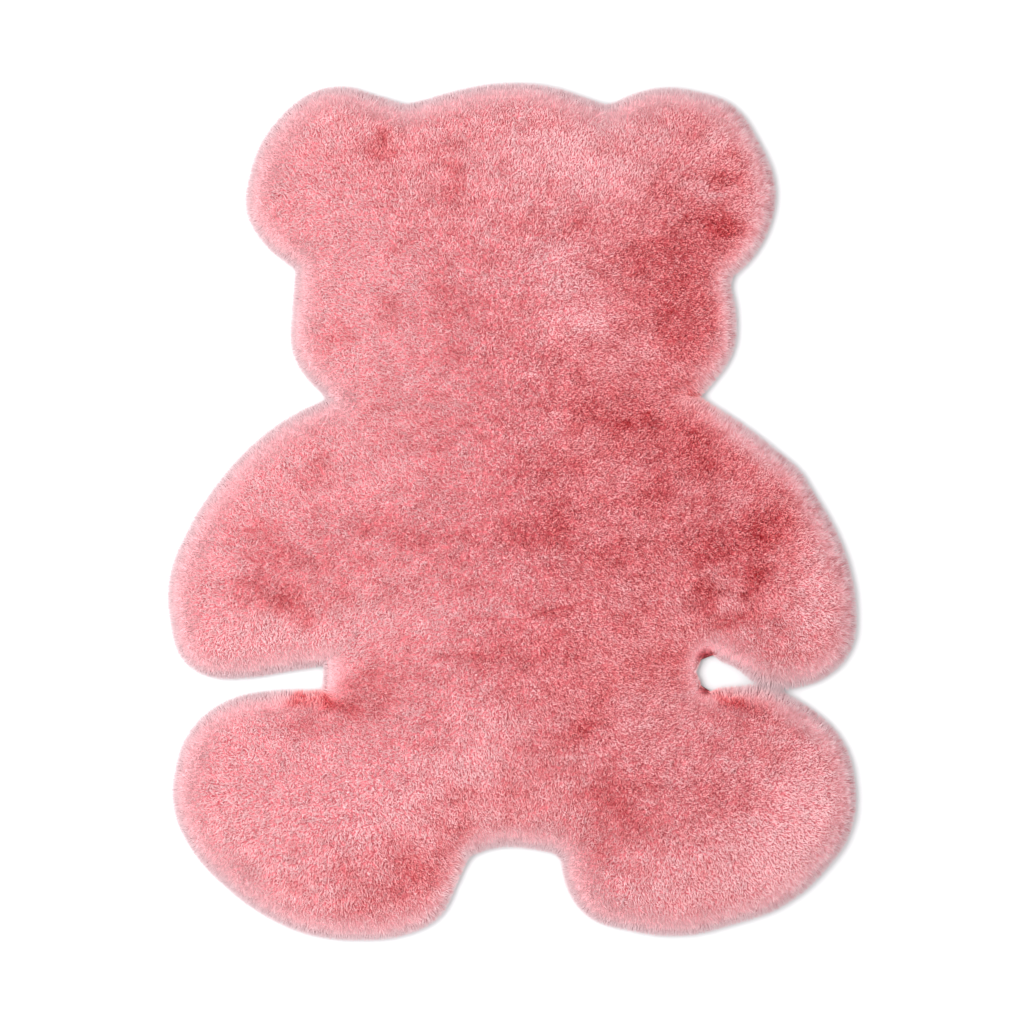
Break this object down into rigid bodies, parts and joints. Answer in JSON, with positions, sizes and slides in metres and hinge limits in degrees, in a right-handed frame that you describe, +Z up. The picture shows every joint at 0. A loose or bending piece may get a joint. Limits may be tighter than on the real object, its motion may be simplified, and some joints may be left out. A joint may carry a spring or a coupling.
{
  "type": "bear shaped doormat",
  "caption": "Flat plush mat of long-pile imitation fur, cut in the plain outline of a teddy bear, to lie at a door or by a bed.",
  "frame": {"origin": "the floor under the middle of the mat's bounding box", "axes": "+X across the mat to the right of a viewer who stands at the feet and looks to the head, +Y from the feet to the head, +Z up out of the pile"},
  "size_m": [0.6452, 0.8028, 0.0261],
  "materials": {
    "fur_pile": "soft pink long-pile imitation fur, matt, paler at the rim and deeper coral where the pile is stroked apart"
  },
  "bodies": {
    "root": {"fur_mat": "fur_pile"}
  },
  "joints": []
}
